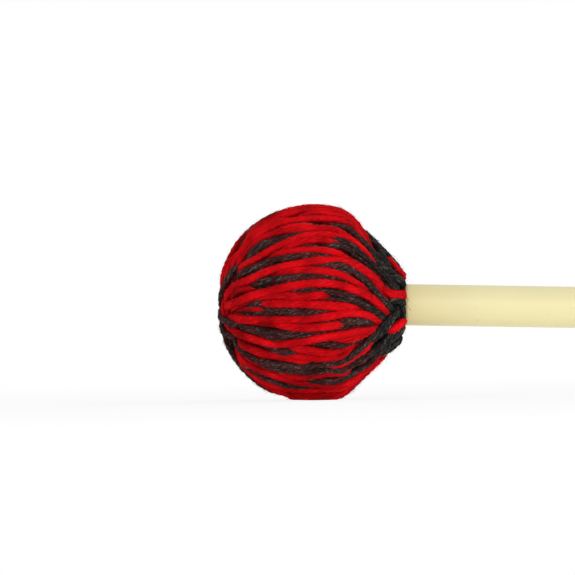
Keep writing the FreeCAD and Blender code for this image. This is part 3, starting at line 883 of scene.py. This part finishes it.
def neck_turn(yarn, material):
    """The red yarn's tail: one turn pressed on to the handle against the neck's face."""
    half_wide, half_thick = 0.45 * MM, 0.3 * MM
    middle = TIE_X - 1.25 * half_wide
    radius = HANDLE_RADIUS + 0.2 * MM
    # Pulled tight, the yarn shows its plies more than on the head
    ply_depth = 1.6 * yarn.ply_depth
    corner = np.linspace(0, 2 * math.pi, 25)
    rings = []
    for turn in np.linspace(0, 2 * math.pi, 160):
        out = np.array([0, -math.cos(turn), math.sin(turn)])
        length = turn * radius
        ply = 1 + ply_depth * np.cos(PLIES * (corner - 2 * math.pi * length / yarn.ply_pitch))
        wide = half_wide * ply * np.cos(corner)
        thick = half_thick * ply * np.sin(corner)
        place = out * radius + np.array([middle, 0, 0])
        rings.append(place + thick[:, None] * out + wide[:, None] * np.array([1.0, 0, 0]))
    rings[-1] = rings[0]
    bm = rolled_tubes([np.array(rings)], np.array([0.3]))
    piece = new_piece("neck_tail", bm, material, ("neck_tie",))
    set_yarn_lengths(piece, math.pi * yarn.width, 2 * math.pi * radius)


def glue_bead(material):
    """The cement that runs out where the handle enters the head, and fills the sleeve's shoulder."""
    low, high = TIE_X - 0.5 * MM, TIE_X + 0.34 * MM
    outer = HANDLE_RADIUS + 0.015 * MM
    inner = outer - 0.3 * MM
    profile = ((low, inner), (low, outer), (high - 0.06 * MM, outer), (high, outer - 0.03 * MM),
               (high, inner))
    bm = turned(profile, 96, closed=True)
    new_piece("glue_bead", bm, material, ())


# Materials

def drawn_noise(tree, along, offset, lean, width, length, roughness):
    """Noise whose marks have this width and length in metres, and lean round the yarn."""
    marks = node(tree, "ShaderNodeMapping", {"vector_type": "TEXTURE"}, Vector=along,
                 Rotation=(0, 0, lean), Scale=(width, length, 1.0)).outputs["Vector"]
    return node(tree, "ShaderNodeTexNoise", {"noise_dimensions": "4D"}, Vector=marks, W=offset,
                Scale=1.0, Detail=2.0, Roughness=roughness).outputs["Fac"]


def clouded(tree, place, colour, cloud_size, detail, darkest, lightest):
    """A colour whose brightness clouds between two shares, and the noise of those clouds.

    Nearly all of the noise lies between 0.3 and 0.7.
    """
    cloud = node(tree, "ShaderNodeTexNoise", None, Vector=place, Scale=1 / cloud_size,
                 Detail=detail).outputs["Fac"]
    value = node(tree, "ShaderNodeMapRange", None, Value=cloud, From_Min=0.3, From_Max=0.7,
                 To_Min=darkest, To_Max=lightest).outputs[0]
    tone = node(tree, "ShaderNodeHueSaturation", None, Color=srgb(colour), Value=value).outputs[0]
    return tone, cloud


def wool(name, girth, dark, light, light_share, stray, stray_share, sheen):
    """Soft worsted yarn of wool and acrylic, spun and plied.

    It has no gloss, only a little sheen at grazing angles, and fine fibres that wind round the strand.
    They are drawn 0.25 mm wide, because real ones, 0.03 mm, are too fine to show. Fibres of the other
    yarn are felted in by play, less so towards the neck, which strikes nothing.
    """
    material, tree, shader = surface(name)
    mark = node(tree, "ShaderNodeAttribute", {"attribute_name": "strand"}).outputs["Fac"]
    along = node(tree, "ShaderNodeUVMap", {"uv_map": "along_yarn"}).outputs["UV"]
    place = node(tree, "ShaderNodeTexCoord").outputs["Object"]
    offset = node(tree, "ShaderNodeMath", {"operation": "MULTIPLY"}, _0=mark, _1=60.0).outputs[0]
    twist = math.radians(20)
    fibres = drawn_noise(tree, along, offset, twist, 0.26 * MM, 1.7 * MM, 0.65)
    flecks = drawn_noise(tree, along, offset, twist, 0.24 * MM, 0.9 * MM, 0.7)
    felted = drawn_noise(tree, along, offset, -twist, 0.2 * MM, 0.8 * MM, 0.7)

    # Light fibres among the dark ones: they begin where their noise passes 0.52 and are full at 0.7
    pick = node(tree, "ShaderNodeMapRange", None, Value=flecks, From_Min=0.52, From_Max=0.7, To_Min=0.0,
                To_Max=light_share).outputs[0]
    own_yarn = node(tree, "ShaderNodeMix", {"data_type": "RGBA"}, Factor=pick)
    own_yarn.inputs["A"].default_value = srgb(dark)
    own_yarn.inputs["B"].default_value = srgb(light)

    # Fibres of the other yarn, a tenth as strong at the neck as on the ball
    reach = node(tree, "ShaderNodeSeparateXYZ", None, Vector=place).outputs["X"]
    struck = node(tree, "ShaderNodeMapRange", None, Value=reach, From_Min=FACE_X - 10 * MM,
                  From_Max=FACE_X - 3 * MM, To_Min=stray_share, To_Max=0.1 * stray_share).outputs[0]
    strength = node(tree, "ShaderNodeMapRange", None, Value=felted, From_Min=0.46, From_Max=0.62,
                    To_Min=0.0, To_Max=struck).outputs[0]
    blend = node(tree, "ShaderNodeMix", {"data_type": "RGBA"}, Factor=strength,
                 A=own_yarn.outputs["Result"])
    blend.inputs["B"].default_value = srgb(stray)

    # Light and dark from fibre to fibre, from strand to strand and in patches 4 mm wide
    own_spread = 0.16
    patches = node(tree, "ShaderNodeTexNoise", None, Vector=place, Scale=1 / (4 * MM),
                   Detail=1.0).outputs["Fac"]
    own = node(tree, "ShaderNodeMath", {"operation": "MULTIPLY_ADD"}, _0=mark, _1=own_spread,
               _2=-own_spread / 2).outputs[0]
    clouds = node(tree, "ShaderNodeMath", {"operation": "ADD"}, _0=patches, _1=own).outputs[0]
    mixed = node(tree, "ShaderNodeMath", {"operation": "ADD"}, _0=fibres, _1=clouds).outputs[0]
    shade = node(tree, "ShaderNodeMapRange", None, Value=mixed, From_Min=0.7, From_Max=1.3,
                 To_Min=0.45, To_Max=1.4).outputs[0]

    # Painted shade: the strand's sides, which lie in the grooves between strands, are darkened to stand for
    # the shade that falls there
    across = node(tree, "ShaderNodeSeparateXYZ", None, Vector=along).outputs["X"]
    turn = node(tree, "ShaderNodeMath", {"operation": "MULTIPLY_ADD"}, _0=across,
                _1=2 * math.pi / girth, _2=-0.5 * math.pi).outputs[0]
    facing = node(tree, "ShaderNodeMath", {"operation": "COSINE"}, _0=turn).outputs[0]
    painted_groove_shade = node(tree, "ShaderNodeMapRange", None, Value=facing, From_Min=0.0, From_Max=0.75,
                  To_Min=0.45, To_Max=1.0).outputs[0]
    shade = node(tree, "ShaderNodeMath", {"operation": "MULTIPLY"}, _0=shade, _1=painted_groove_shade).outputs[0]
    coloured = node(tree, "ShaderNodeHueSaturation", None, Color=blend.outputs["Result"], Value=shade)

    height = node(tree, "ShaderNodeMath", {"operation": "ADD"}, _0=fibres, _1=flecks).outputs[0]
    bump = node(tree, "ShaderNodeBump", None, Height=height, Strength=0.8, Distance=0.16 * MM)
    tree.links.new(coloured.outputs[0], shader.inputs["Base Color"])
    tree.links.new(bump.outputs[0], shader.inputs["Normal"])
    shader.inputs["Roughness"].default_value = 0.95
    shader.inputs["Specular IOR Level"].default_value = 0.06
    shader.inputs["Sheen Weight"].default_value = sheen
    shader.inputs["Sheen Roughness"].default_value = 0.5
    shader.inputs["Sheen Tint"].default_value = srgb(light)
    return material


def ivory_polymer(colour):
    """Extruded ivory polymer tube, satin: a broad soft highlight and almost no texture.

    Its colour clouds over about a centimetre, its skin is rough at 0.4 mm, and beside the head it turns
    faintly browner, with spots of cement.
    """
    material, tree, shader = surface("ivory_polymer")
    place = node(tree, "ShaderNodeTexCoord").outputs["Object"]
    clean, _ = clouded(tree, place, colour, 11.1 * MM, 3.0, 0.975, 1.015)
    # A faint brown tint, strongest at the head, that fades over 12 mm, with spots of 0.7 mm that are
    # thickest at the bead
    reach = node(tree, "ShaderNodeSeparateXYZ", None, Vector=place).outputs["X"]
    near = node(tree, "ShaderNodeMapRange", None, Value=reach, From_Min=TIE_X,
                From_Max=TIE_X + 12 * MM, To_Min=1.0, To_Max=0.0).outputs[0]
    faint = node(tree, "ShaderNodeMath", {"operation": "MULTIPLY"}, _0=near, _1=0.19).outputs[0]
    dots = node(tree, "ShaderNodeTexNoise", None, Vector=place, Scale=1 / (0.7 * MM), Detail=2.0)
    close = node(tree, "ShaderNodeMapRange", None, Value=reach, From_Min=TIE_X,
                 From_Max=TIE_X + 1.6 * MM, To_Min=0.5, To_Max=0.75).outputs[0]
    spots = node(tree, "ShaderNodeMath", {"operation": "GREATER_THAN"}, _0=dots.outputs["Fac"],
                 _1=close).outputs[0]
    browning = node(tree, "ShaderNodeMath", {"operation": "MULTIPLY_ADD"}, _0=spots, _1=0.55,
                 _2=faint).outputs[0]
    blend = node(tree, "ShaderNodeMix", {"data_type": "RGBA"}, Factor=browning)
    tree.links.new(clean, blend.inputs["A"])
    blend.inputs["B"].default_value = srgb("C49A48")
    skin = node(tree, "ShaderNodeTexNoise", None, Vector=place, Scale=1 / (0.385 * MM),
                Detail=2.0).outputs["Fac"]
    bump = node(tree, "ShaderNodeBump", None, Height=skin, Strength=0.04, Distance=0.02 * MM).outputs[0]
    tree.links.new(blend.outputs["Result"], shader.inputs["Base Color"])
    tree.links.new(bump, shader.inputs["Normal"])
    shader.inputs["Roughness"].default_value = 0.38
    shader.inputs["IOR"].default_value = 1.49
    return material


def plain(name, colour, roughness, cloud_size, contrast):
    """A plain stock whose colour clouds a little, in lumps that can also be felt."""
    material, tree, shader = surface(name)
    place = node(tree, "ShaderNodeTexCoord").outputs["Object"]
    tone, cloud = clouded(tree, place, colour, cloud_size, 4.0, 1 - contrast, 1 + contrast)
    bump = node(tree, "ShaderNodeBump", None, Height=cloud, Strength=0.2, Distance=0.05 * MM).outputs[0]
    tree.links.new(tone, shader.inputs["Base Color"])
    tree.links.new(bump, shader.inputs["Normal"])
    shader.inputs["Roughness"].default_value = roughness
    return material


def seen_directly(tree):
    """1 for what the camera sees, also in gloss and through what is clear, and 0 for plain light."""
    path = node(tree, "ShaderNodeLightPath").outputs
    mirrored = node(tree, "ShaderNodeMath", {"operation": "MAXIMUM"}, _0=path["Is Glossy Ray"],
                    _1=path["Is Transmission Ray"]).outputs[0]
    return node(tree, "ShaderNodeMath", {"operation": "MAXIMUM"}, _0=path["Is Camera Ray"],
                _1=mirrored).outputs[0]


def dress(name, material):
    """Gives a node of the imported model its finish."""
    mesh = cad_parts[name].data
    mesh.materials.clear()
    mesh.materials.append(material)


# Stage

def table_paper(head_x, drop):
    """Matt white paper on a light table: white to the eye, a little greyer under the head.

    It has no gloss or grain. The lamp below shines through it, and the head's shadow shows on it.
    """
    material, tree, shader = surface("matt_white_paper")
    shader.inputs["Base Color"].default_value = srgb("F4F4F4")
    shader.inputs["Roughness"].default_value = 0.95
    # The paper glows a little less within 2 cm of the head's centre than 30 cm away
    far = node(tree, "ShaderNodeVectorMath", {"operation": "DISTANCE"},
               _0=node(tree, "ShaderNodeTexCoord").outputs["Object"],
               _1=(head_x, 0.0, drop)).outputs["Value"]
    white = node(tree, "ShaderNodeMapRange", None, Value=far, From_Min=0.02, From_Max=0.3,
                 To_Min=0.86, To_Max=1.0).outputs[0]
    share = node(tree, "ShaderNodeMath", {"operation": "MULTIPLY"}, _0=seen_directly(tree),
                 _1=white).outputs[0]
    glow = node(tree, "ShaderNodeEmission", None, Color=(1, 1, 1, 1), Strength=1.0).outputs[0]
    paper = node(tree, "ShaderNodeMixShader", None, _0=share, _1=shader.outputs[0], _2=glow)
    clear = node(tree, "ShaderNodeBsdfTransparent").outputs[0]
    through = node(tree, "ShaderNodeLightPath").outputs["Is Shadow Ray"]
    mixed = node(tree, "ShaderNodeMixShader", None, _0=through, _1=paper.outputs[0], _2=clear)
    tree.links.new(mixed.outputs[0], tree.nodes["Material Output"].inputs["Surface"])
    return material


def add_floor(scene, head_x):
    """Lays the table under the head and the butt, on which the mallet rests."""
    floor_size = 3.0
    drop = -scene.mallet_head.radius + scene.mallet_head.rest_flat
    # The butt is rounded, so it touches a little above its lowest line
    butt_drop = -HANDLE_RADIUS * 0.92
    lean = math.atan2(butt_drop - drop, BUTT_X - head_x)
    bm = bmesh.new()
    bmesh.ops.create_grid(bm, x_segments=1, y_segments=1, size=floor_size)
    bmesh.ops.rotate(bm, cent=(0, 0, 0), matrix=Matrix.Rotation(-lean, 3, "Y"), verts=bm.verts)
    bmesh.ops.translate(bm, vec=(head_x, 0, drop), verts=bm.verts)
    mesh = bpy.data.meshes.new("floor")
    bm.to_mesh(mesh)
    bm.free()
    mesh.materials.append(table_paper(head_x, drop))
    floor = bpy.data.objects.new("floor", mesh)
    scene.collection.objects.link(floor)


def add_studio(scene):
    """White walls all round, which light the mallet less from the crown's side."""
    darkest, lightest = 0.33, 0.93
    world = bpy.data.worlds.new("studio")
    world.use_nodes = True
    scene.world = world
    tree = world.node_tree
    back = tree.nodes["Background"]
    back.inputs["Color"].default_value = (1, 1, 1, 1)
    toward = node(tree, "ShaderNodeSeparateXYZ", None,
                  Vector=node(tree, "ShaderNodeTexCoord").outputs["Generated"]).outputs["X"]
    light = node(tree, "ShaderNodeMapRange", None, Value=toward, From_Min=-1.0, From_Max=1.0,
                 To_Min=darkest, To_Max=lightest).outputs[0]
    strength = node(tree, "ShaderNodeMapRange", None, Value=seen_directly(tree), To_Min=light,
                    To_Max=1.0).outputs[0]
    tree.links.new(strength, back.inputs["Strength"])


def add_lamps(scene, look):
    """Hangs the soft lamps round the head, turned towards it."""
    for name, place, size, power in LAMPS:
        light = bpy.data.lights.new(name, "AREA")
        light.size = size
        light.energy = power
        lamp = bpy.data.objects.new(name, light)
        lamp.location = look + Vector(place)
        lamp.rotation_euler = (look - lamp.location).to_track_quat("-Z", "Y").to_euler()
        scene.collection.objects.link(lamp)


def add_camera(scene, head_x):
    """Puts the camera square to the handle, with the photograph's frame and its slight roll."""
    distance = 1.6
    roll = math.radians(-0.87)
    width = PICTURE * PIXEL_MM * MM
    middle_x = head_x + (PICTURE / 2 - HEAD_COLUMN) * PIXEL_MM * MM
    middle_z = (HEAD_ROW - PICTURE / 2) * PIXEL_MM * MM
    camera = bpy.data.cameras.new("camera")
    camera.sensor_width = 36.0
    camera.lens = camera.sensor_width * distance / width
    camera.clip_end = 20.0
    view = bpy.data.objects.new("camera", camera)
    view.matrix_world = (Matrix.Translation((middle_x, -distance, middle_z))
                         @ Matrix.Rotation(math.radians(90), 4, "X") @ Matrix.Rotation(-roll, 4, "Z"))
    scene.collection.objects.link(view)
    scene.camera = view


# Operators

class MALLET_OT_handle(bpy.types.Operator):
    """Finish the ivory sleeve and the rod inside it"""
    bl_idname = "mallet.handle"
    bl_label = "Finish the handle"

    def execute(self, context):
        dress("handle_sleeve", ivory_polymer(context.scene.mallet_finish.ivory))
        # Pale, dry and a little uneven, as glass and resin are where they are cut
        dress("handle_rod", plain("pultruded_fibreglass", "C9C3A0", 0.5, 1.1 * MM, 0.12))
        return {"FINISHED"}


class MALLET_OT_core(bpy.types.Operator):
    """Finish the core, the latex round it and the adhesive in its bore"""
    bl_idname = "mallet.core"
    bl_label = "Finish the core"

    def execute(self, context):
        # Sooty black and matt, straight from the mould
        dress("rubber_core", plain("moulded_black_rubber", "1C1C1C", 0.75, 2.5 * MM, 0.1))
        # Tan and half dull, as latex is when it is stretched and wound
        dress("latex_wrap", plain("natural_latex", "C8A878", 0.6, 3.3 * MM, 0.12))
        # Amber and rather glossy, as resin sets against a smooth bore
        dress("core_adhesive", plain("cured_epoxy", "B89C60", 0.25, 3.3 * MM, 0.08))
        return {"FINISHED"}


class MALLET_OT_winding(bpy.types.Operator):
    """Wind the head in both yarns and close it with the tail and the cement"""
    bl_idname = "mallet.winding"
    bl_label = "Wind the head"

    def execute(self, context):
        yarn = context.scene.mallet_yarn
        finish = context.scene.mallet_finish
        envelope = Envelope(context.scene.mallet_head)
        strands = winding_strands(envelope, yarn)
        girth = math.pi * yarn.width
        red = wool("red_wool_yarn", girth, finish.red, "DC1C2C", light_share=0.55,
                   stray=finish.charcoal, stray_share=0.12, sheen=0.06)
        charcoal = wool("charcoal_heather_yarn", girth, finish.charcoal, finish.heather,
                        light_share=0.72, stray="8E1216", stray_share=0.43, sheen=0.05)
        materials = {"red": red, "charcoal": charcoal, "under": charcoal}
        for name, colour, (lowest, above), sides, slot, replaced in YARN_PIECES:
            chosen = [s for s in strands if s.colour == colour and lowest <= s.layer < above]
            yarn_piece(name, envelope, chosen, yarn, sides, materials[colour], replaced)
        for name, colour, slot in (("red_loose_fibres", "red", "red_yarn"),
                                   ("charcoal_loose_fibres", "charcoal", "charcoal_yarn")):
            chosen = [s for s in strands if s.colour == colour]
            fibre_piece(name, envelope, chosen, yarn, materials[colour])
        # Old turns matted to one mass, dull as felt, their red painted dark for the shade deep in the gaps
        # between the outer turns
        winding_bed(envelope, plain("red_wool_painted_shade", "4A0408", 0.95, 1.11 * MM, 0.3))
        neck_turn(yarn, red)
        # Yellowed and crusty, with little shine left
        glue_bead(plain("dried_cement", "D2BE86", 0.5, 1.11 * MM, 0.15))
        return {"FINISHED"}


class MALLET_OT_stage(bpy.types.Operator):
    """Set the floor, the lights and the camera"""
    bl_idname = "mallet.stage"
    bl_label = "Set the stage"

    def execute(self, context):
        scene = context.scene
        scene.view_settings.view_transform = "Standard"
        head_x = Envelope(scene.mallet_head).head_x
        add_floor(scene, head_x)
        add_studio(scene)
        add_lamps(scene, Vector((head_x, 0, 0)))
        add_camera(scene, head_x)
        return {"FINISHED"}


class MALLET_PT_panel(bpy.types.Panel):
    """Steps that build the mallet's looks"""
    bl_label = "Yarn-wound mallet"
    bl_idname = "MALLET_PT_panel"
    bl_space_type = "VIEW_3D"
    bl_region_type = "UI"
    bl_category = "Mallet"

    def draw(self, context):
        for step in STEPS:
            self.layout.operator(step.bl_idname)


STEPS = (MALLET_OT_handle, MALLET_OT_core, MALLET_OT_winding, MALLET_OT_stage)
GROUPS = (("mallet_head", HeadSizes), ("mallet_yarn", YarnSizes), ("mallet_finish", Finish))


def register():
    """Adds the settings, the steps and the panel."""
    for name, group in GROUPS:
        bpy.utils.register_class(group)
        setattr(bpy.types.Scene, name, bpy.props.PointerProperty(type=group))
    for step in STEPS:
        bpy.utils.register_class(step)
    bpy.utils.register_class(MALLET_PT_panel)


def unregister():
    """Takes the panel, the steps and the settings away again."""
    bpy.utils.unregister_class(MALLET_PT_panel)
    for step in reversed(STEPS):
        bpy.utils.unregister_class(step)
    for name, group in reversed(GROUPS):
        delattr(bpy.types.Scene, name)
        bpy.utils.unregister_class(group)


def main():
    """Runs the steps in order."""
    register()
    bpy.ops.mallet.handle()
    bpy.ops.mallet.core()
    bpy.ops.mallet.winding()
    bpy.ops.mallet.stage()


if __name__ == "__main__":
    main()
